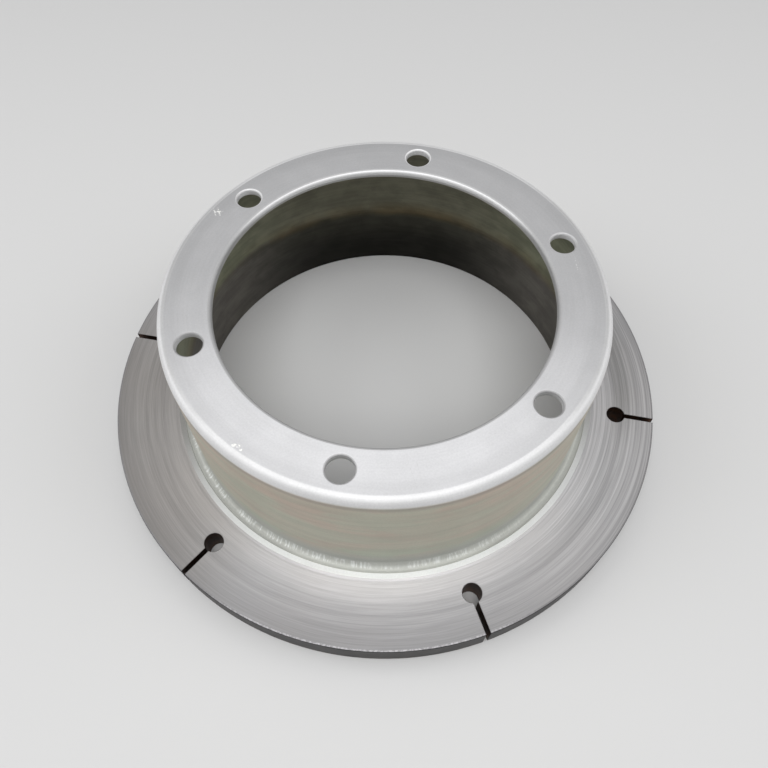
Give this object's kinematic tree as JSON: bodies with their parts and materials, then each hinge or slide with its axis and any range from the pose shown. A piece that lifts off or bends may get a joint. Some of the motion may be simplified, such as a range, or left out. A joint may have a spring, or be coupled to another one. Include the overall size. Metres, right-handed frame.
{
  "type": "aircraft brake disc",
  "caption": "Hat-type steel brake disc: a thick friction ring with radial relief slots, a tall wall and an inward bolting flange round a large bore.",
  "frame": {"origin": "on the disc's axis, in the plane of the friction ring's back face", "axes": "+Z along the disc's axis, from the friction ring towards the bolting flange; the first bolt hole is on +X"},
  "size_m": [0.235, 0.235, 0.0726],
  "materials": {
    "worn_steel": "turned steel, plated dull grey on flange and wall, bare and swept by the linings on the friction faces"
  },
  "bodies": {
    "root": {"brake_disc": "worn_steel"}
  },
  "joints": []
}
